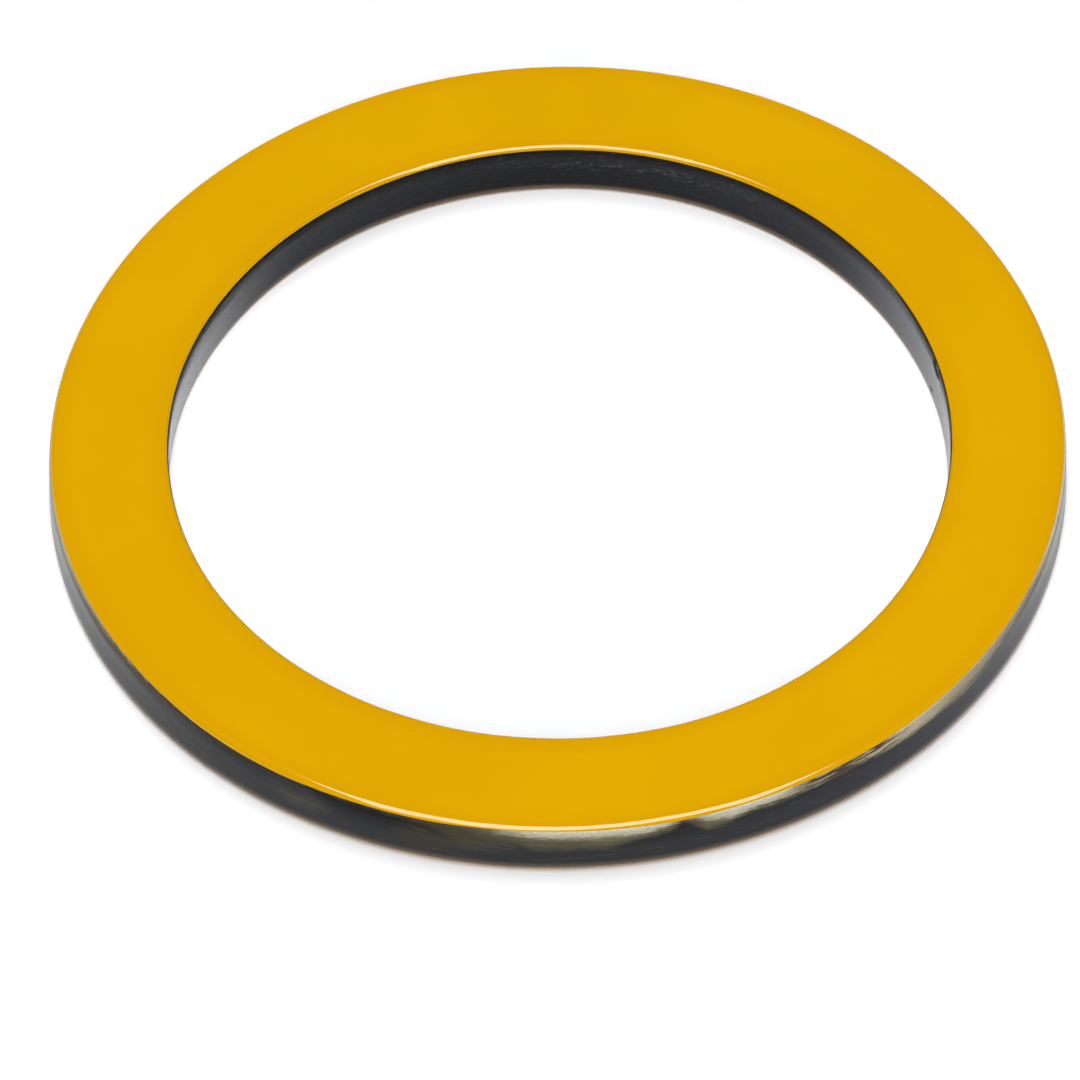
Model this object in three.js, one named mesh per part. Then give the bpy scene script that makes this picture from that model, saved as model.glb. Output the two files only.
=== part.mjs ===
// A flat bangle: a ring cut from a pressed plate of dark horn, with a polished coat of
// lacquer on its top face and another on its underside. Millimetres, +Z up. The origin is the
// ring's centre on the surface that it lies on.
import * as THREE from 'three';

// Driving dimensions, in millimetres.
const WRIST_OPENING_DIAMETER = 65;
const BAND_WIDTH = 9.75;
const TOTAL_THICKNESS = 5.4;
const COAT_THICKNESS = 0.25;
const COAT_EDGE_RADIUS = 0.22;

// How finely the round shapes are cut into flats.
const STEPS_AROUND_RING = 120;
const STEPS_ROUND_EDGE = 3;

const INNER_RADIUS = WRIST_OPENING_DIAMETER / 2;
const OUTER_RADIUS = INNER_RADIUS + BAND_WIDTH;
const HORN_BOTTOM = COAT_THICKNESS;
const HORN_TOP = TOTAL_THICKNESS - COAT_THICKNESS;

const HORN_COLOUR = 0x2b2a28;
const TOP_LACQUER_COLOUR = 0xe5aa02;
const UNDERSIDE_LACQUER_COLOUR = 0xe5aa02;

// A named mesh made by turning a closed outline of (radius, height) points about +Z.
function turnedPiece(name, outline, material) {
  const closedOutline = [...outline, outline[0]];
  const geometry = new THREE.LatheGeometry(closedOutline, STEPS_AROUND_RING);
  const mesh = new THREE.Mesh(geometry, material);
  mesh.name = name;
  mesh.rotation.x = Math.PI / 2;
  return mesh;
}

// Points along a quarter circle, from startAngle on by a right angle, anticlockwise.
function quarterRound(centreRadius, centreHeight, startAngle) {
  const points = [];
  for (let step = 0; step <= STEPS_ROUND_EDGE; step += 1) {
    const angle = startAngle + (step / STEPS_ROUND_EDGE) * (Math.PI / 2);
    const radius = centreRadius + COAT_EDGE_RADIUS * Math.cos(angle);
    const height = centreHeight + COAT_EDGE_RADIUS * Math.sin(angle);
    points.push(new THREE.Vector2(radius, height));
  }
  return points;
}

// The horn ring. Its faces are flat and its corners square, because the coats meet them there.
function hornBody() {
  const outline = [
    new THREE.Vector2(OUTER_RADIUS, HORN_BOTTOM),
    new THREE.Vector2(OUTER_RADIUS, HORN_TOP),
    new THREE.Vector2(INNER_RADIUS, HORN_TOP),
    new THREE.Vector2(INNER_RADIUS, HORN_BOTTOM),
  ];
  const material = new THREE.MeshStandardMaterial({
    color: HORN_COLOUR,
    roughness: 0.3,
    metalness: 0,
  });
  return turnedPiece('horn_body', outline, material);
}

// The top coat, flat on the horn, with both of its upper edges polished round.
function topLacquer() {
  const edgeHeight = TOTAL_THICKNESS - COAT_EDGE_RADIUS;
  const outline = [
    new THREE.Vector2(OUTER_RADIUS, HORN_TOP),
    ...quarterRound(OUTER_RADIUS - COAT_EDGE_RADIUS, edgeHeight, 0),
    ...quarterRound(INNER_RADIUS + COAT_EDGE_RADIUS, edgeHeight, Math.PI / 2),
    new THREE.Vector2(INNER_RADIUS, HORN_TOP),
  ];
  const material = new THREE.MeshStandardMaterial({
    color: TOP_LACQUER_COLOUR,
    roughness: 0.08,
    metalness: 0,
  });
  return turnedPiece('top_lacquer', outline, material);
}

// The underside coat, the top coat's mirror image, whose flat face is what the ring lies on.
function undersideLacquer() {
  const outline = [
    ...quarterRound(INNER_RADIUS + COAT_EDGE_RADIUS, COAT_EDGE_RADIUS, Math.PI),
    ...quarterRound(OUTER_RADIUS - COAT_EDGE_RADIUS, COAT_EDGE_RADIUS, -Math.PI / 2),
    new THREE.Vector2(OUTER_RADIUS, HORN_BOTTOM),
    new THREE.Vector2(INNER_RADIUS, HORN_BOTTOM),
  ];
  const material = new THREE.MeshStandardMaterial({
    color: UNDERSIDE_LACQUER_COLOUR,
    roughness: 0.08,
    metalness: 0,
  });
  return turnedPiece('underside_lacquer', outline, material);
}

const bangle = new THREE.Group();
bangle.add(hornBody(), topLacquer(), undersideLacquer());

export default bangle;
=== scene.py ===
"""A flat bangle: a ring of dark polished horn with a thick gloss mustard lacquer coat on its top
face and another on its underside, lying on a white table under large overhead softboxes.

Lengths are in millimetres until a mesh is made, and angles round the ring are in degrees from
its front (-Y), rising towards +X."""

import math

import bpy
import numpy as np
from mathutils import Matrix, Vector


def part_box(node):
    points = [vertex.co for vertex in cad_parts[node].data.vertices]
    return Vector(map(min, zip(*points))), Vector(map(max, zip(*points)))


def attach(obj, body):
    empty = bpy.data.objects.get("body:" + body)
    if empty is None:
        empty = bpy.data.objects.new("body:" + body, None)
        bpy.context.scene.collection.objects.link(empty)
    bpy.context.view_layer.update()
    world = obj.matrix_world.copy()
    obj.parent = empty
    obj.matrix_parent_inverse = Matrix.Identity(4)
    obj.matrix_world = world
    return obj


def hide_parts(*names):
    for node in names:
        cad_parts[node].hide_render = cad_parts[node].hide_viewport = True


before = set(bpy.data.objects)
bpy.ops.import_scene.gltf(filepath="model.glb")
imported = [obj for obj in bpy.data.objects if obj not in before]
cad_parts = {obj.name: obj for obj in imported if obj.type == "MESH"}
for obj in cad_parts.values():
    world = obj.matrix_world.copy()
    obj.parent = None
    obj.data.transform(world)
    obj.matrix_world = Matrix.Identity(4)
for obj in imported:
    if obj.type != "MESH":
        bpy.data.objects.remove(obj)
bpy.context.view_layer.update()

MM = 0.001

# ---- Sizes, from the CAD frame ---------------------------------------------------------------


def wall_radii(node):
    """(inner, outer) radius of a CAD node in millimetres, from its own vertices."""
    radii = [math.hypot(v.co.x, v.co.y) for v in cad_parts[node].data.vertices]
    return min(radii) / MM, max(radii) / MM


R_IN, R_OUT = wall_radii("horn_body")
HORN_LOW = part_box("horn_body")[0].z / MM
HORN_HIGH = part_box("horn_body")[1].z / MM
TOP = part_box("top_lacquer")[1].z / MM

# ---- Finish, in millimetres ------------------------------------------------------------------

COLUMNS = 1440  # mesh columns round the ring
STRIPS = 5  # equal lengths that the ring is cut into for its flat texture map
ROUND_OUTER = 0.45  # radius of the polished round at the upper outer edge
ROUND_INNER = 0.50  # and at the upper inner edge
ROUND_UNDER_OUTER = 0.80  # at the lower outer edge
ROUND_UNDER_INNER = 0.40  # and at the lower inner edge
COAT = TOP - HORN_HIGH  # depth of a coat, measured at the outer edge
COAT_INNER = 0.20  # how deep the top coat goes at the inner edge
DROOP = 0.03  # how far a coat's face falls away beside its rounds
DROOP_WIDTH = 1.5  # over this width
BELLY = 0.08  # how far the outer wall swells at mid height
CORNER = 0.05  # how far it falls away further, close to the coats
OUTER_SHIFT = -0.03  # how far the hand cut outer wall lies off centre, along X
OUTER_LEAN = 0.06  # how far it leans along X, from bottom to top
HOLE_SHIFT = 0.065  # and the same for the hole
HOLE_LEAN = 0.19
OVERHANG = 0.14  # how far the hole's back wall (+Y) leans in, in its upper half
SPREAD = 0.20  # how far the outer wall's foot spreads at both sides (+-X)
PINCH = 0.07  # and how far it draws in at the front and back
LOBES_AT = 140  # degrees; both walls stray from a circle in three lobes, the first near here / 3
HOLE_LOBES = 0.085  # how far the hole strays in them
HOLE_TIGHT = 0.05  # and how much smaller it is all round
RIM_LOBES = 0.095  # how far the outer wall strays in them
RIM_OVAL = 0.07  # how far the outer wall is out of round as an oval
RIM_OVAL_AT = -42  # degrees; the oval's long axis lies near here / 2
RIM_LARGE = 0.01  # and how much larger it is all round
TREMOR = 0.012  # height of the fine unevenness of walls and joint
LIE_BACK = 0.5  # how far the coat's outer edge lies back, as a share of how far it has run down


def smoothstep(low, high, x):
    t = np.clip((x - low) / (high - low), 0, 1)
    return t * t * (3 - 2 * t)


def waves(turn, seed, count, first=2, last=9):
    """A smooth periodic wander of about +-1 round the ring, for a turn array in radians."""
    rng = np.random.default_rng(seed)
    total = np.zeros_like(turn)
    for _ in range(count):
        lobes = rng.integers(first, last + 1)
        total += rng.uniform(0.4, 1) * np.sin(lobes * turn + rng.uniform(0, 2 * math.pi))
    return total / math.sqrt(count)


# ---- Meshes ----------------------------------------------------------------------------------


def arc(centre_r, centre_z, radius, start, sweep, steps):
    """Points on an arc in the (r, z) plane, anticlockwise from start degrees."""
    angles = np.radians(np.linspace(start, start + sweep, steps + 1))
    return [(centre_r + radius * math.cos(a), centre_z + radius * math.sin(a)) for a in angles]


def joint_angle(depth, radius):
    """How far round an edge, in degrees from its face, the coat of that depth reaches."""
    return math.degrees(math.acos(1 - depth / radius))


def between(a, b, steps):
    """The inner points of a straight run from a to b."""
    return [
        (a[0] + (b[0] - a[0]) * k / steps, a[1] + (b[1] - a[1]) * k / steps)
        for k in range(1, steps)
    ]


def turned_mesh(name, profile, hidden_rows, shape):
    """A closed ring from an anticlockwise (r, z) profile. shape(r, z, turn) returns the finished
    r and z arrays. hidden_rows are profile rows whose run to the next row lies inside a joint,
    which take little room in the flat texture map."""
    rows = len(profile)
    turn = np.arange(COLUMNS) * 2 * math.pi / COLUMNS
    base = np.array(profile)
    r, z = shape(
        np.repeat(base[None, :, 0], COLUMNS, 0),
        np.repeat(base[None, :, 1], COLUMNS, 0),
        np.repeat(turn[:, None], rows, 1),
    )
    across = turn[:, None]
    x, y = r * np.sin(across) + sideways(r, z), -r * np.cos(across)
    points = np.stack([x, y, z], 2).reshape(-1, 3) * MM

    column, row = np.meshgrid(np.arange(COLUMNS), np.arange(rows), indexing="ij")
    next_column, next_row = (column + 1) % COLUMNS, (row + 1) % rows
    quads = np.stack(
        [
            column * rows + row,
            next_column * rows + row,
            next_column * rows + next_row,
            column * rows + next_row,
        ],
        2,
    ).reshape(-1, 4)

    mesh = bpy.data.meshes.new(name)
    mesh.from_pydata(points.tolist(), [], quads.tolist())
    mesh.polygons.foreach_set("use_smooth", np.ones(len(quads), bool))
    mesh.set_sharp_from_angle(angle=math.radians(42))

    run = np.hypot(*(np.roll(base, -1, 0) - base).T)
    run[list(hidden_rows)] *= 0.04
    ends = np.concatenate([[0], np.cumsum(run)]) / run.sum()
    per_strip = COLUMNS // STRIPS
    strip, place = column // per_strip, column % per_strip
    left = 0.01 + 0.98 * place / per_strip
    right = 0.01 + 0.98 * (place + 1) / per_strip
    low = (strip + 0.02 + 0.96 * ends[row]) / STRIPS
    high = (strip + 0.02 + 0.96 * ends[row + 1]) / STRIPS
    corners = np.stack([left, low, right, low, right, high, left, high], 2)
    mesh.uv_layers.new(name="OFBake").data.foreach_set("uv", corners.reshape(-1))
    mesh.validate()
    mesh.update()

    piece = bpy.data.objects.new(name, mesh)
    bpy.context.scene.collection.objects.link(piece)
    return piece


# How far the top coat has run down the outer and the inner wall: (degrees, millimetres).
OUTER_RUNS = [
    (-180, 0.05),
    (-58, 0.0),
    (-50, 0.09),
    (-44, 0.26),
    (-38, 0.31),
    (-34, 0.28),
    (-28, 0.12),
    (-22, 0.07),
    (-15, 0.08),
    (-10, 0.01),
    (0, 0.02),
    (5, 0.06),
    (11, 0.13),
    (15, 0.10),
    (20, 0.03),
    (40, 0.03),
    (70, 0.0),
    (180, 0.05),
]
INNER_RUNS = [
    (-180, 0.14),
    (-160, 0.12),
    (-150, 0.15),
    (-136, 0.145),
    (-120, 0.085),
    (-90, 0.0),
    (105, -0.02),
    (120, -0.02),
    (130, 0.09),
    (145, 0.12),
    (160, 0.17),
    (180, 0.14),
]


def runs(turn, table):
    """A given table of (degrees, millimetres), smoothly joined, for a turn array."""
    degrees = (np.degrees(turn) + 180) % 360 - 180
    total = np.zeros_like(degrees)
    for (start, first), (end, last) in zip(table, table[1:]):
        within = (degrees >= start) & (degrees < end)
        total += within * (first + (last - first) * smoothstep(start, end, degrees))
    return total


def joint_wander(r, turn):
    """How far the line between the top coat and the horn strays from level, in millimetres."""
    down = np.where(r > (R_IN + R_OUT) / 2, runs(turn, OUTER_RUNS), runs(turn, INNER_RUNS))
    return TREMOR * waves(turn, 11, 7, 3, 24) - down


def wall_wander(r, turn):
    """The hand finished walls' slight departure from a true circle, in millimetres."""
    lobes = np.cos(3 * turn - math.radians(LOBES_AT))
    inner = HOLE_LOBES * lobes - HOLE_TIGHT + TREMOR * waves(turn, 21, 5)
    oval = RIM_OVAL * np.cos(2 * turn - math.radians(RIM_OVAL_AT))
    outer = RIM_LOBES * lobes + oval + RIM_LARGE + TREMOR * waves(turn, 22, 5)
    return inner + (outer - inner) * smoothstep(R_IN, R_OUT, r)


def leaning(r, z, turn):
    """What the walls' slopes add to the radius, in millimetres: the hole's back wall leans in,
    the outer wall's foot spreads or draws in, and the top coat's outer edge lies back where
    the coat has run down."""
    height = smoothstep(TOP / 2, TOP, z)
    lean_in = -OVERHANG * np.clip(-np.cos(turn), 0, 1) * height
    lie_back = -LIE_BACK * runs(turn, OUTER_RUNS) * smoothstep(HORN_HIGH, TOP, z)
    spread = SPREAD * np.sin(turn) ** 2 - PINCH * np.cos(turn) ** 2
    spread = spread * smoothstep(0.6 * TOP, 0, z)
    return lean_in + (lie_back + spread - lean_in) * smoothstep(R_IN, R_OUT, r)


def sideways(r, z):
    """How far the off-centre hole and the leaning walls put a point along X."""
    height = z / TOP - 0.5
    hole, outer = HOLE_SHIFT + HOLE_LEAN * height, OUTER_SHIFT + OUTER_LEAN * height
    return hole + (outer - hole) * smoothstep(R_IN, R_OUT, r)


def swollen(r, z):
    """The radius after the outer wall's swell: nothing at mid height, most at the coats. A face
    is carried along with the wall at its edge."""
    middle, half = (HORN_HIGH + HORN_LOW) / 2, (HORN_HIGH - HORN_LOW) / 2
    height = np.clip(np.abs(z - middle) / half, 0, 1)
    across = np.clip((2 * r - R_IN - R_OUT) / (R_OUT - R_IN), 0, 1)
    return r - across * (BELLY * height**2 + CORNER * height**8)


def top_coat_shape(r, z, turn):
    """The top coat: its face droops beside its rounds, and its lower edge follows the joint."""
    edge_distance = np.minimum(R_OUT - ROUND_OUTER - r, r - R_IN - ROUND_INNER)
    fall = DROOP * (1 - smoothstep(0, DROOP_WIDTH, edge_distance))
    face = smoothstep(HORN_HIGH, TOP, z)
    height = z - fall * face + joint_wander(r, turn) * (1 - face)
    radius = swollen(r, np.full_like(z, TOP)) + wall_wander(r, turn) + leaning(r, z, turn)
    return radius, height


def underside_coat_shape(r, z, turn):
    return swollen(r, np.zeros_like(z)) + wall_wander(r, turn) + leaning(r, z, turn), z


# Chips in the inner wall: (degrees, millimetres below the joint, half length, half height,
# depth into the wall).
CHIPS = [
    (102.3, 0.66, 1.05, 0.60, 0.18),
    (104.0, 4.15, 0.26, 0.20, 0.30),
    (-131.0, 0.10, 0.45, 0.12, 0.10),
]


def horn_shape(r, z, turn):
    """The horn ring: walls swollen a little, and small chips in the inner wall."""
    radius = swollen(r, z) + wall_wander(r, turn) + leaning(r, z, turn)
    on_inner = r < R_IN + 0.3
    for angle, below, half_length, half_height, depth in CHIPS:
        away = (turn - math.radians(angle) + math.pi) % (2 * math.pi) - math.pi
        reach = np.hypot(away * R_IN / half_length, (z - HORN_HIGH + below) / half_height)
        radius = radius + depth * smoothstep(1.0, 0.7, reach) * on_inner
    lift = smoothstep((HORN_HIGH + HORN_LOW) / 2, HORN_HIGH, z)
    return radius, z + joint_wander(r, turn) * lift


def horn_profile():
    """Anticlockwise from the outer wall's foot: outer wall, top, inner wall, bottom."""
    under = ROUND_UNDER_OUTER
    sweep = 90 - joint_angle(COAT, under)
    outer_foot = arc(R_OUT - under, under, under, -sweep, sweep, 5)
    outer, inner = ROUND_OUTER, ROUND_INNER
    sweep = 90 - joint_angle(COAT, outer)
    outer_head = arc(R_OUT - outer, TOP - outer, outer, 0, sweep, 5)
    sweep = 90 - joint_angle(COAT_INNER, inner)
    inner_head = arc(R_IN + inner, TOP - inner, inner, 180 - sweep, sweep, 4)
    under = ROUND_UNDER_INNER
    sweep = 90 - joint_angle(COAT, under)
    inner_foot = arc(R_IN + under, under, under, 180, sweep, 4)
    points = outer_foot + between(outer_foot[-1], outer_head[0], 22) + outer_head
    top_row = len(points) - 1
    points += inner_head + between(inner_head[-1], inner_foot[0], 22) + inner_foot
    return points, (top_row, len(points) - 1)


def face_points(outer_end, inner_end):
    """A face between its two rounds, closer set where it droops."""
    outer_flat = (outer_end[0] - DROOP_WIDTH, outer_end[1])
    inner_flat = (inner_end[0] + DROOP_WIDTH, inner_end[1])
    points = between(outer_end, outer_flat, 6) + [outer_flat]
    points += between(outer_flat, inner_flat, 6) + [inner_flat]
    return points + between(inner_flat, inner_end, 6)


def top_coat_profile():
    """Anticlockwise from the joint at the outer edge."""
    outer, inner = ROUND_OUTER, ROUND_INNER
    outer_turn, inner_turn = joint_angle(COAT, outer), joint_angle(COAT_INNER, inner)
    outer_edge = arc(R_OUT - outer, TOP - outer, outer, 90 - outer_turn, outer_turn, 12)
    inner_edge = arc(R_IN + inner, TOP - inner, inner, 90, inner_turn, 12)
    points = outer_edge + face_points(outer_edge[-1], inner_edge[0]) + inner_edge
    return points, (len(points) - 1,)


def underside_coat_profile():
    """Anticlockwise from the joint at the inner edge."""
    under = ROUND_UNDER_INNER
    sweep = joint_angle(COAT, under)
    inner_edge = arc(R_IN + under, under, under, 270 - sweep, sweep, 10)
    under = ROUND_UNDER_OUTER
    sweep = joint_angle(COAT, under)
    outer_edge = arc(R_OUT - under, under, under, 270, sweep, 10)
    face = face_points(outer_edge[0], inner_edge[-1])[::-1]
    points = inner_edge + face + outer_edge
    return points, (len(points) - 1,)


# ---- Node trees ------------------------------------------------------------------------------


class Graph:
    """A material's or world's node tree, built by nesting calls. Values may be numbers,
    colours or other nodes' outputs."""

    def __init__(self, tree):
        self.tree = tree

    def node(self, kind, inputs=(), **settings):
        made = self.tree.nodes.new("ShaderNode" + kind)
        for key, value in settings.items():
            setattr(made, key, value)
        for key, value in dict(inputs).items():
            self.feed(made.inputs[key], value)
        return made

    def feed(self, socket, value):
        if isinstance(value, bpy.types.NodeSocket):
            self.tree.links.new(value, socket)
        elif isinstance(value, tuple) and len(value) == 3 and len(socket.default_value) == 4:
            socket.default_value = (*value, 1)
        else:
            socket.default_value = value

    def math(self, operation, a, b=0.0, c=0.0):
        return self.node("Math", {0: a, 1: b, 2: c}, operation=operation).outputs[0]

    def step(self, value, low, high):
        """0 at low, 1 at high, smooth between. low may be the greater."""
        inputs = {"Value": value, "From Min": low, "From Max": high}
        ramp = self.node("MapRange", inputs, interpolation_type="SMOOTHSTEP")
        return ramp.outputs[0]

    def linear(self, value, low, high, out_low=0.0, out_high=1.0):
        inputs = {
            "Value": value,
            "From Min": low,
            "From Max": high,
            "To Min": out_low,
            "To Max": out_high,
        }
        return self.node("MapRange", inputs).outputs[0]

    def mix(self, factor, a, b):
        """Colour a where factor is 0, b where it is 1."""
        made = self.node("Mix", data_type="RGBA")
        self.feed(made.inputs[0], factor)
        self.feed(made.inputs[6], a)
        self.feed(made.inputs[7], b)
        return made.outputs[2]

    def scaled(self, x, y, z, by_x, by_y, by_z):
        parts = {
            "X": self.math("MULTIPLY", x, by_x),
            "Y": self.math("MULTIPLY", y, by_y),
            "Z": self.math("MULTIPLY", z, by_z),
        }
        return self.node("CombineXYZ", parts).outputs[0]

    def noise(self, vector, scale, detail, roughness):
        inputs = {"Vector": vector, "Scale": scale, "Detail": detail, "Roughness": roughness}
        return self.node("TexNoise", inputs).outputs["Fac"]

    def specks(self, vector, spacing, radius, share):
        """1 inside small round spots, one in some cells of a grid of that spacing."""
        cells = self.node("TexVoronoi", {"Vector": vector, "Scale": 1 / spacing})
        chance = self.node("SeparateColor", {"Color": cells.outputs["Color"]}).outputs[0]
        near = self.step(cells.outputs["Distance"], radius / spacing, 0.5 * radius / spacing)
        return self.math("MULTIPLY", near, self.math("LESS_THAN", chance, share))

    def ramp(self, value, stops, interpolation="LINEAR"):
        """A colour that changes with a value from 0 to 1, from given (place, colour) stops."""
        made = self.node("ValToRGB", {0: value})
        made.color_ramp.interpolation = interpolation
        elements = made.color_ramp.elements
        while len(elements) < len(stops):
            elements.new(0.5)
        for element, (place, colour) in zip(elements, stops):
            element.position = place
            element.color = (*colour, 1)
        return made.outputs[0]

    def place(self):
        """Position in millimetres (vector, x, y, z), radius, and degrees from the front."""
        spot = self.node("TexCoord").outputs["Object"]
        vector = self.node("VectorMath", {0: spot, "Scale": 1 / MM}, operation="SCALE").outputs[0]
        x, y, z = self.node("SeparateXYZ", {0: vector}).outputs
        radius = self.math("SQRT", self.math("MULTIPLY_ADD", x, x, self.math("MULTIPLY", y, y)))
        turn = self.math("ARCTAN2", x, self.math("MULTIPLY", y, -1.0))
        return vector, x, y, z, radius, self.math("MULTIPLY", turn, 180 / math.pi)

    def bump(self, height, distance, under=None):
        inputs = {"Height": height, "Distance": distance, "Strength": 1.0}
        if under is not None:
            inputs["Normal"] = under
        return self.node("Bump", inputs).outputs["Normal"]


def material(name):
    """(material, graph, its Principled shader)."""
    made = bpy.data.materials.new(name)
    made.use_nodes = True
    graph = Graph(made.node_tree)
    return made, graph, made.node_tree.nodes["Principled BSDF"]


def finish_material(graph, shader, colour, roughness, normal, ior):
    graph.feed(shader.inputs["Base Color"], colour)
    graph.feed(shader.inputs["Roughness"], roughness)
    graph.feed(shader.inputs["Normal"], normal)
    shader.inputs["IOR"].default_value = ior


# ---- Lacquer ---------------------------------------------------------------------------------

LACQUER_IOR = 1.55
MUSTARD = (0.730, 0.381, 0.0005)
MUSTARD_DEEP = (0.705, 0.363, 0.0005)
MUSTARD_EDGE_DARK = (0.665, 0.336, 0.0005)
# painted shade for the underside coat's edges next to the table
LACQUER_EDGE_SHADE = (0.26, 0.12, 0.018)
DUST = (0.30, 0.16, 0.01)


def lacquer_material(name, edge_shade=0.0):
    """Mustard lacquer. Its second argument is how far the edges are darkened to umber: painted
    shade.
    """
    made, g, shader = material(name)
    vector, x, y, z, radius, _ = g.place()
    clouds = g.noise(vector, 0.09, 3.0, 0.55)
    colour = g.mix(g.step(clouds, 0.35, 0.7), MUSTARD_DEEP, MUSTARD)
    from_outer = g.math("SUBTRACT", R_OUT, radius)
    from_inner = g.math("SUBTRACT", radius, R_IN)
    edge = g.math("MINIMUM", from_outer, from_inner)
    # Darker within about 2 mm of both edges.
    near_edge_darkening = g.math("MULTIPLY", g.step(edge, 2.2, 0.5), 0.7)
    colour = g.mix(near_edge_darkening, colour, MUSTARD_EDGE_DARK)
    # Painted shade: the outermost edges darkened to umber, for the shade where they meet the
    # table.
    colour = g.mix(g.math("MULTIPLY", g.step(edge, 0.45, 0.25), edge_shade), colour, LACQUER_EDGE_SHADE)
    dust = g.specks(vector, 4.2, 0.10, 0.16)
    colour = g.mix(g.math("MULTIPLY", dust, 0.35), colour, DUST)

    haze = g.noise(vector, 0.22, 4.0, 0.6)
    hairlines = g.noise(g.scaled(x, y, z, 0.5, 7.0, 4.0), 1.0, 3.0, 0.6)
    roughness = g.linear(haze, 0.3, 0.7, 0.045, 0.085)
    roughness = g.math("ADD", roughness, g.math("MULTIPLY", g.step(hairlines, 0.62, 0.75), 0.03))

    peel = g.noise(vector, 0.75, 2.0, 0.4)
    normal = g.bump(peel, 0.0035 * MM)
    normal = g.bump(dust, 0.006 * MM, normal)
    finish_material(g, shader, colour, roughness, normal, LACQUER_IOR)
    return made


# ---- Horn ------------------------------------------------------------------------------------

HORN_IOR = 1.22  # below real horn's 1.54: these walls mirror the white table only faintly
BLACK = (0.0020, 0.0021, 0.0016)
CHARCOAL = (0.0165, 0.0170, 0.0200)
# paler charcoals for the left side: painted reflection of the white table
LEFT_REFLECTION_CHARCOAL = (0.0210, 0.0205, 0.0210)
PALE_REFLECTION_CHARCOAL = (0.0620, 0.0520, 0.0420)
BLUE_CHARCOAL = (0.0115, 0.0125, 0.0200)
INNER_GREY = (0.0055, 0.0060, 0.0078)
INNER_BLUE = (0.0115, 0.0120, 0.0190)
# painted reflection of the white table at the inner wall's sides
SIDE_REFLECTION_GREY = (0.30, 0.30, 0.32)
CREAM = (0.64, 0.60, 0.46)
CREAM_DEEP = (0.50, 0.455, 0.34)
WARM_CREAM = (0.48, 0.37, 0.19)
OLIVE = (0.25, 0.225, 0.12)
OLIVE_DEEP = (0.095, 0.088, 0.050)
UMBER_BROWN = (0.050, 0.037, 0.018)
UMBER_DARK = (0.016, 0.010, 0.006)
TAN = (0.060, 0.033, 0.018)
# painted light: the foot's warm brown lit by the white table below
FOOT_LIGHT_BROWN = (0.28, 0.195, 0.115)
FIBRE = (0.17, 0.17, 0.15)
DUST_PALE = (0.35, 0.35, 0.34)

DEEPEST = 4.0  # millimetres; a figure depth is stored as a share of this

# Figure of the outer rim: (degrees, millimetres of cream under the joint, millimetres down to
# where the olive under it fades out, how far umber replaces both).
FIGURE = [
    (-180, 0.3, 1.0, 0.6),
    (-150, 0.8, 1.6, 0.3),
    (-120, 0.1, 0.5, 0.8),
    # At about -80 to -60 degrees the cream at the top of the rim is a painted reflection.
    (-76, 0.7, 1.8, 0.3),
    (-66, 0.4, 1.0, 0.55),
    (-56, 0.15, 0.6, 0.7),
    (-44, 0.0, 0.2, 1.0),
    (-19, 0.0, 0.1, 1.0),
    (-15, 0.0, 0.5, 1.0),
    (-12, 0.4, 1.6, 0.97),
    (-8.8, 0.6, 2.0, 0.90),
    (-6.6, 0.38, 1.5, 0.45),
    (-3.5, 0.7, 2.2, 0.05),
    (4, 0.72, 2.2, 0.0),
    (8, 0.85, 1.4, 0.0),
    (11.0, 0.50, 1.2, 0.1),
    (12.1, 0.15, 0.3, 0.9),
    (13.7, 0.05, 0.15, 1.0),
    (14.5, 0.6, 1.7, 0.2),
    (18, 1.0, 1.6, 0.0),
    (20.6, 0.78, 0.92, 0.0),
    (24, 0.74, 0.88, 0.05),
    (28, 0.85, 1.05, 0.25),
    (32.5, 0.7, 1.1, 0.7),
    (35.2, 0.80, 1.2, 0.12),
    (38.5, 1.2, 1.6, 0.05),
    (44, 1.15, 1.75, 0.15),
    (49, 1.0, 1.8, 0.35),
    (64, 0.6, 1.4, 0.55),
    (74, 0.5, 3.0, 0.0),
    (100, 0.5, 3.0, 0.0),
    (180, 0.3, 1.0, 0.6),
]

# Soft patches in the outer rim's dark body: (degrees, millimetres below the joint, half length,
# half height, strength, colour).
PATCHES = [
    (-22, 0.9, 4.5, 1.4, 0.75, BLACK),
    (-42, 0.35, 9.0, 0.50, 0.80, UMBER_BROWN),
    (-31, 1.9, 3.2, 1.4, 0.50, OLIVE_DEEP),
    (-13, 1.0, 4.2, 2.2, 0.80, UMBER_BROWN),
    (-16, 2.6, 3.4, 1.6, 0.55, UMBER_BROWN),
    (-9, 1.4, 3.0, 1.6, 0.70, OLIVE_DEEP),
    (12.6, 1.2, 1.6, 1.2, 0.80, UMBER_DARK),
]


def place_squares(g, angle, below, degrees, depth, half_length, half_height, radius):
    """1 on an ellipse on a wall, less inside it and more outside."""
    along = g.math("SUBTRACT", angle, degrees)
    along = g.math("MULTIPLY", along, math.radians(radius) / half_length)
    up = g.math("MULTIPLY", g.math("SUBTRACT", below, depth), 1 / half_height)
    return g.math("MULTIPLY_ADD", along, along, g.math("MULTIPLY", up, up))


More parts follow.
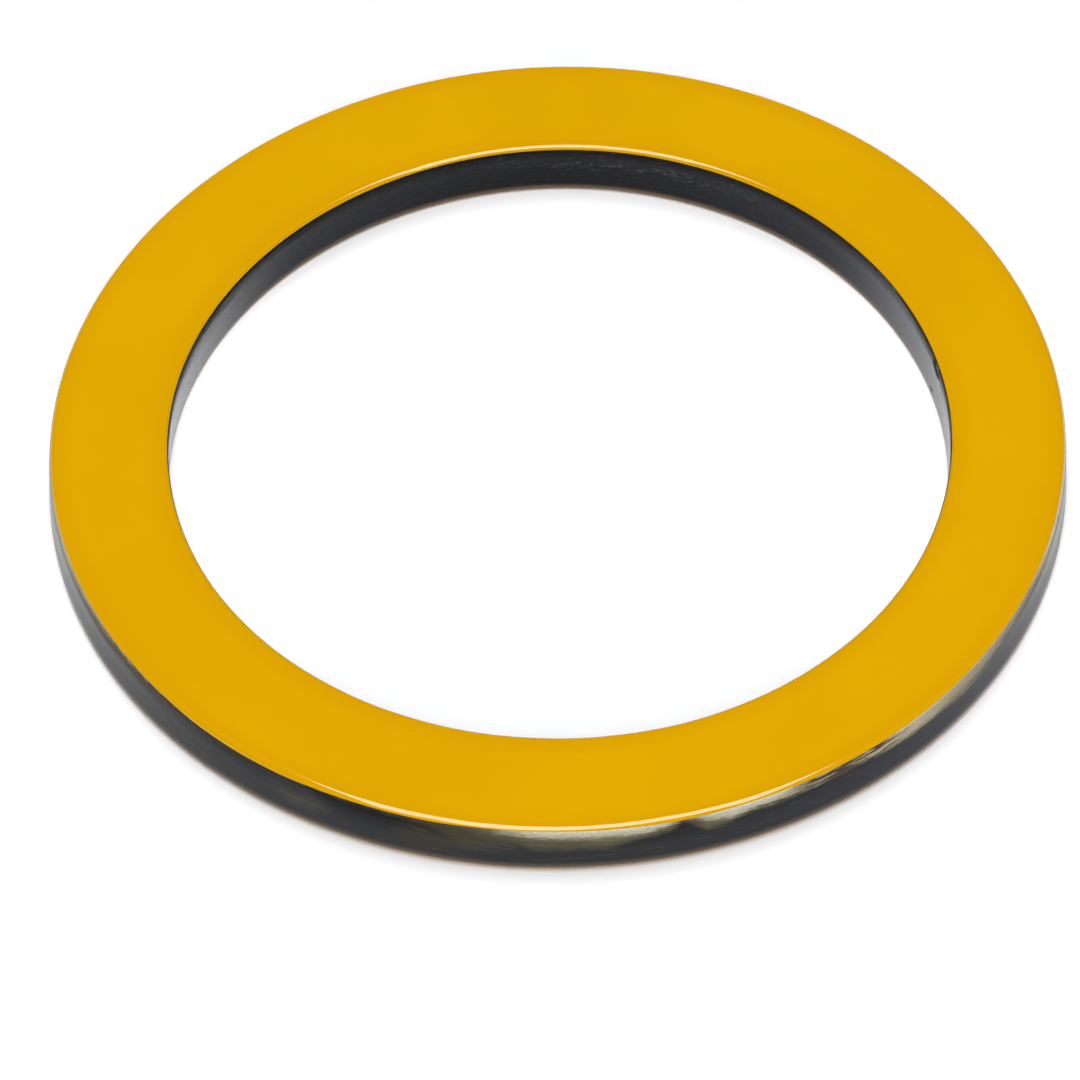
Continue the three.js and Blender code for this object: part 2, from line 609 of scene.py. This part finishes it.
def horn_material():
    made, g, shader = material("polished dark horn")
    vector, x, y, z, radius, angle = g.place()
    outer = g.step(radius, R_IN + 2.0, R_OUT - 2.0)
    inner = g.math("SUBTRACT", 1.0, outer)
    below = g.math("SUBTRACT", HORN_HIGH, z)

    # Layers of the pressed plate: nearly level, drifting slowly, and combed by fine fibres.
    drift = g.noise(g.scaled(x, y, z, 1.0, 1.0, 0.6), 0.07, 2.0, 0.5)
    slant = g.math("MULTIPLY_ADD", x, 0.055, g.math("MULTIPLY", y, -0.01))
    slope = g.math("MULTIPLY_ADD", drift, 1.6, slant)
    level = g.math("MULTIPLY_ADD", slope, outer, z)
    fibres = g.noise(g.scaled(x, y, level, 0.32, 0.32, 8.0), 1.0, 5.0, 0.65)
    bands = g.noise(g.scaled(x, y, level, 0.16, 0.16, 1.6), 1.0, 3.0, 0.5)
    strands = g.noise(g.scaled(x, y, level, 0.38, 0.38, 4.2), 1.0, 4.0, 0.6)
    dashes = g.noise(g.scaled(x, y, level, 1.6, 1.6, 9.0), 1.0, 2.0, 0.5)
    comb = g.math("MULTIPLY_ADD", g.math("SUBTRACT", dashes, 0.5), 0.7, below)
    comb = g.math("MULTIPLY_ADD", g.math("SUBTRACT", fibres, 0.5), 1.2, comb)
    ragged = g.math("MULTIPLY_ADD", g.math("SUBTRACT", bands, 0.5), 1.5, comb)

    # The dark body of the outer rim: blacker under the coat, bluer to the right, and paler to the
    # left, where the paleness is a painted reflection of the white table at that grazing side.
    right = g.step(angle, 5.0, 45.0)
    charcoal = g.mix(right, CHARCOAL, BLUE_CHARCOAL)
    # Painted reflection: paler charcoal to the left, in the body and under the coat.
    charcoal = g.mix(g.step(angle, -22.0, -55.0), charcoal, LEFT_REFLECTION_CHARCOAL)
    under_coat = g.mix(g.step(angle, -22.0, -36.0), BLACK, CHARCOAL)
    under_coat = g.mix(g.step(angle, -38.0, -60.0), under_coat, PALE_REFLECTION_CHARCOAL)
    body = g.mix(g.step(ragged, -0.2, 2.6), under_coat, charcoal)
    light_fibres = g.math("MULTIPLY", g.step(fibres, 0.52, 0.72), 0.10)
    body = g.mix(light_fibres, body, FIBRE)
    combed = g.linear(g.step(fibres, 0.42, 0.57), 0.0, 1.0, 0.15, 1.0)
    for *spot, strength, tint in PATCHES:
        cover = g.step(place_squares(g, angle, comb, *spot, R_OUT), 1.3, 0.0)
        cover = g.math("MULTIPLY", g.math("MULTIPLY", cover, combed), strength)
        body = g.mix(cover, body, tint)

    # The inner wall: near black under the coat, blue grey below, and pale at both sides: the pale
    # is a painted reflection of the white table, seen there at a grazing angle.
    across = g.math("ABSOLUTE", x)
    lower = g.mix(g.step(across, 3.0, 22.0), INNER_GREY, INNER_BLUE)
    # Painted reflection: pale grey at both sides of the inner wall, stronger on the left.
    side_reflection = g.math("POWER", g.step(across, 20.0, 33.0), 2.0)
    side_reflection = g.math("MULTIPLY", side_reflection, g.linear(x, -10.0, 10.0, 1.0, 0.5))
    lower = g.mix(side_reflection, lower, SIDE_REFLECTION_GREY)
    black_depth = g.linear(x, -15.0, 15.0, 0.55, -0.75)
    wall = g.mix(g.step(g.math("SUBTRACT", ragged, black_depth), 0.0, 2.1), BLACK, lower)
    around = g.math("WRAP", angle, 360.0, 0.0)
    from_streaks = g.math("ABSOLUTE", g.math("SUBTRACT", around, 167.0))
    mid = g.step(g.math("ABSOLUTE", g.math("SUBTRACT", below, 1.65)), 1.2, 0.2)
    zone = g.math("MULTIPLY", g.step(from_streaks, 26.0, 8.0), mid)
    cover = g.math("MULTIPLY", g.step(dashes, 0.50, 0.72), g.step(strands, 0.40, 0.60))
    cover = g.math("MULTIPLY", cover, g.linear(zone, 0.0, 1.0, 0.12, 0.7))
    wall = g.mix(cover, wall, FIBRE)
    body = g.mix(inner, body, wall)

    # The pale layers under the top coat, thin and umber on the inner wall.
    stops = [
        ((degrees + 180) / 360, (cream / DEEPEST, olive / DEEPEST, umber))
        for degrees, cream, olive, umber in FIGURE
    ]
    figure = g.ramp(g.linear(angle, -180.0, 180.0), stops, "EASE")
    cream_reach, olive_reach, umber = g.node("SeparateColor", {"Color": figure}).outputs
    scale = g.linear(inner, 0.0, 1.0, DEEPEST, 0.3)
    cream_reach = g.math("MAXIMUM", g.math("MULTIPLY", cream_reach, scale), 0.02)
    olive_reach = g.math("MAXIMUM", g.math("MULTIPLY", olive_reach, scale), 0.05)
    cream_share = g.math("DIVIDE", comb, cream_reach)
    olive_share = g.math("DIVIDE", ragged, olive_reach)
    cream = g.mix(g.step(cream_share, 0.0, 1.0), CREAM, CREAM_DEEP)
    grain = g.noise(vector, 5.0, 2.0, 0.6)
    cream = g.mix(g.math("MULTIPLY", g.step(grain, 0.55, 0.35), 0.35), cream, OLIVE)
    olive = g.mix(g.step(olive_share, 0.2, 0.8), OLIVE, OLIVE_DEEP)
    olive = g.mix(g.math("MULTIPLY", g.step(fibres, 0.56, 0.38), 0.6), olive, UMBER_BROWN)
    pale = g.mix(g.step(cream_share, 0.75, 1.30), cream, olive)
    umber = g.math("MAXIMUM", umber, inner)
    warm = g.math("MULTIPLY", g.step(angle, 22.0, 27.0), g.step(angle, 62.0, 50.0))
    pale = g.mix(g.math("MULTIPLY", warm, 0.35), pale, WARM_CREAM)
    pale = g.mix(umber, pale, UMBER_BROWN)
    pale = g.mix(inner, pale, UMBER_DARK)
    streaked = g.math("MULTIPLY", g.step(angle, 23.0, 29.0), g.step(angle, 43.0, 36.0))
    near = g.step(comb, 1.3, 0.2)
    strand_cover = g.step(g.math("MULTIPLY_ADD", near, 0.06, strands), 0.48, 0.60)
    pale = g.mix(g.math("MULTIPLY", strand_cover, streaked), pale, TAN)
    colour = g.mix(g.step(olive_share, 1.15, 0.75), body, pale)

    # The largest chip of the inner wall has a dark outline: painted shade along its steep walls.
    squares = place_squares(g, angle, below, *CHIPS[0][:4], R_IN)
    chip_outline_shade = g.step(g.math("ABSOLUTE", g.math("SUBTRACT", squares, 0.85)), 0.5, 0.2)
    colour = g.mix(g.math("MULTIPLY", chip_outline_shade, inner), colour, BLACK)

    # A warm brown band above both lower edges: the horn's translucent foot, painted paler with
    # light from the white table that shines through it and is mirrored in its lower rounds.
    foot_light = g.step(z, g.linear(outer, 0.0, 1.0, 0.95, 1.45), 0.10)
    colour = g.mix(g.math("MULTIPLY", foot_light, 0.85), colour, FOOT_LIGHT_BROWN)
    pits = g.specks(vector, 0.9, 0.05, 0.16)
    colour = g.mix(g.math("MULTIPLY", pits, 0.5), colour, DUST_PALE)

    polish = g.linear(fibres, 0.3, 0.7, 0.17, 0.30)
    roughness = g.linear(g.step(ragged, 1.5, 0.3), 0.0, 1.0, 0.0, 0.35)
    roughness = g.math("ADD", polish, roughness)
    scratches = g.noise(g.scaled(x, y, z, 0.8, 0.8, 26.0), 1.0, 3.0, 0.6)
    normal = g.bump(scratches, 0.0012 * MM)
    normal = g.bump(fibres, 0.004 * MM, normal)
    normal = g.bump(pits, -0.01 * MM, normal)
    finish_material(g, shader, colour, roughness, normal, HORN_IOR)
    return made


# ---- Pieces ----------------------------------------------------------------------------------


def hand_over(piece, node, finish):
    """Puts the piece in the CAD node's place, with its material."""
    piece.data.materials.append(finish)
    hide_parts(node)
    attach(piece, "root")


def make_pieces():
    horn = turned_mesh("horn_ring", *horn_profile(), horn_shape)
    hand_over(horn, "horn_body", horn_material())
    top = turned_mesh("top_coat", *top_coat_profile(), top_coat_shape)
    hand_over(top, "top_lacquer", lacquer_material("mustard lacquer, top"))
    under = turned_mesh("underside_coat", *underside_coat_profile(), underside_coat_shape)
    # Its edges get painted shade: darkened to umber next to the table.
    finish = lacquer_material("mustard lacquer, underside", 0.8)
    hand_over(under, "underside_lacquer", finish)


# ---- Stage, light and camera -----------------------------------------------------------------

TABLE_HALF = 6.0
TABLE_DROP = 0.00002  # keeps the table clear of the underside coat's face
GLOW_FAR = 0.85  # light that the table gives of its own far away, which keeps it pale there
GLOW_IN_HOLE = 0.30  # at both sides inside the wrist opening, where it thins the shadow
GLOW_BESIDE = 0.20  # and at both sides outside the ring
HORIZON_PALE = (0.86, 0.87, 0.88)
STUDIO_DARK = (0.012, 0.012, 0.013)
BOX_HEIGHT = 2.8
BOX_SIZE = (1.26, 4.6)
BOX_SHIFT = -1.29
BOX_POWER = 141.0
SHEEN_SPOT = (0, 0.117, 1.728)
SHEEN_TILT = 47.7  # degrees, its front edge the lower
SHEEN_SIZE = (1.22, 2.76)
SHEEN_POWER = 82.0


def make_table():
    """A white table top. It gives a little light of its own far away and beside the ring."""
    mesh = bpy.data.meshes.new("table")
    h, z = TABLE_HALF, -TABLE_DROP
    mesh.from_pydata([(-h, -h, z), (h, -h, z), (h, h, z), (-h, h, z)], [], [(0, 1, 2, 3)])
    table = bpy.data.objects.new("table", mesh)
    bpy.context.scene.collection.objects.link(table)
    made, g, shader = material("white table")
    spot = g.node("TexCoord").outputs["Object"]
    distance = g.node("VectorMath", {0: spot}, operation="LENGTH").outputs["Value"]
    shader.inputs["Base Color"].default_value = (0.905, 0.915, 0.93, 1)
    shader.inputs["Roughness"].default_value = 0.9
    shader.inputs["Specular IOR Level"].default_value = 0.0
    shader.inputs["Emission Color"].default_value = (0.98, 0.99, 1.0, 1)
    across = g.math("ABSOLUTE", g.node("SeparateXYZ", {0: spot}).outputs[0])
    in_hole = g.math("MULTIPLY", g.step(distance, 0.040, 0.034), GLOW_IN_HOLE)
    in_hole = g.math("MULTIPLY", g.step(across, 0.018, 0.034), in_hole)
    beside = g.math("MULTIPLY", g.step(across, 0.030, 0.046), GLOW_BESIDE)
    beside = g.math("MAXIMUM", in_hole, beside)
    glow = g.math("MAXIMUM", g.linear(distance, 0.15, 2.2, 0.0, GLOW_FAR), beside)
    g.feed(shader.inputs["Emission Strength"], glow)
    mesh.materials.append(made)


def make_softbox(name, size, power, spot, tilt=0.0):
    light = bpy.data.lights.new(name, "AREA")
    light.shape = "RECTANGLE"
    light.size, light.size_y = size
    light.energy = power
    lamp = bpy.data.objects.new(name, light)
    lamp.location = spot
    lamp.rotation_euler.x = tilt
    bpy.context.scene.collection.objects.link(lamp)
    return lamp


def make_lights():
    """An overhead softbox, and a tilted one that only shows in the gloss."""
    spot = (0, BOX_SHIFT, BOX_HEIGHT)
    make_softbox("overhead softbox", BOX_SIZE, BOX_POWER, spot).visible_glossy = False
    tilt = math.radians(SHEEN_TILT)
    sheen = make_softbox("gloss softbox", SHEEN_SIZE, SHEEN_POWER, SHEEN_SPOT, tilt)
    sheen.visible_diffuse = False


def make_world():
    """A dim studio with a pale band at the horizon."""
    world = bpy.data.worlds.new("studio")
    bpy.context.scene.world = world
    world.use_nodes = True
    g = Graph(world.node_tree)
    direction = g.node("TexCoord").outputs["Generated"]
    height = g.node("SeparateXYZ", {0: direction}).outputs[2]
    colour = g.mix(g.step(height, 0.03, 0.14), HORIZON_PALE, STUDIO_DARK)
    g.feed(world.node_tree.nodes["Background"].inputs["Color"], colour)


CAMERA_DISTANCE = 0.7397
CAMERA_ELEVATION = 49.03
CAMERA_ROLL = -1.48
CAMERA_LENS = 295.7
AIM = (-0.0017, -0.00694, 0.0)  # where the middle of the view meets the table


def make_camera():
    data = bpy.data.cameras.new("camera")
    data.lens, data.sensor_width, data.clip_start = CAMERA_LENS, 36.0, 0.01
    camera = bpy.data.objects.new("camera", data)
    bpy.context.scene.collection.objects.link(camera)
    up = math.radians(CAMERA_ELEVATION)
    spot = Vector((0, -math.cos(up), math.sin(up))) * CAMERA_DISTANCE
    facing = (Vector(AIM) - spot).to_track_quat("-Z", "Y").to_matrix().to_4x4()
    roll = Matrix.Rotation(math.radians(CAMERA_ROLL), 4, "Z")
    camera.matrix_world = Matrix.Translation(spot) @ facing @ roll
    bpy.context.scene.camera = camera


make_pieces()
make_table()
make_lights()
make_world()
make_camera()
bpy.context.scene.view_settings.view_transform = "Standard"
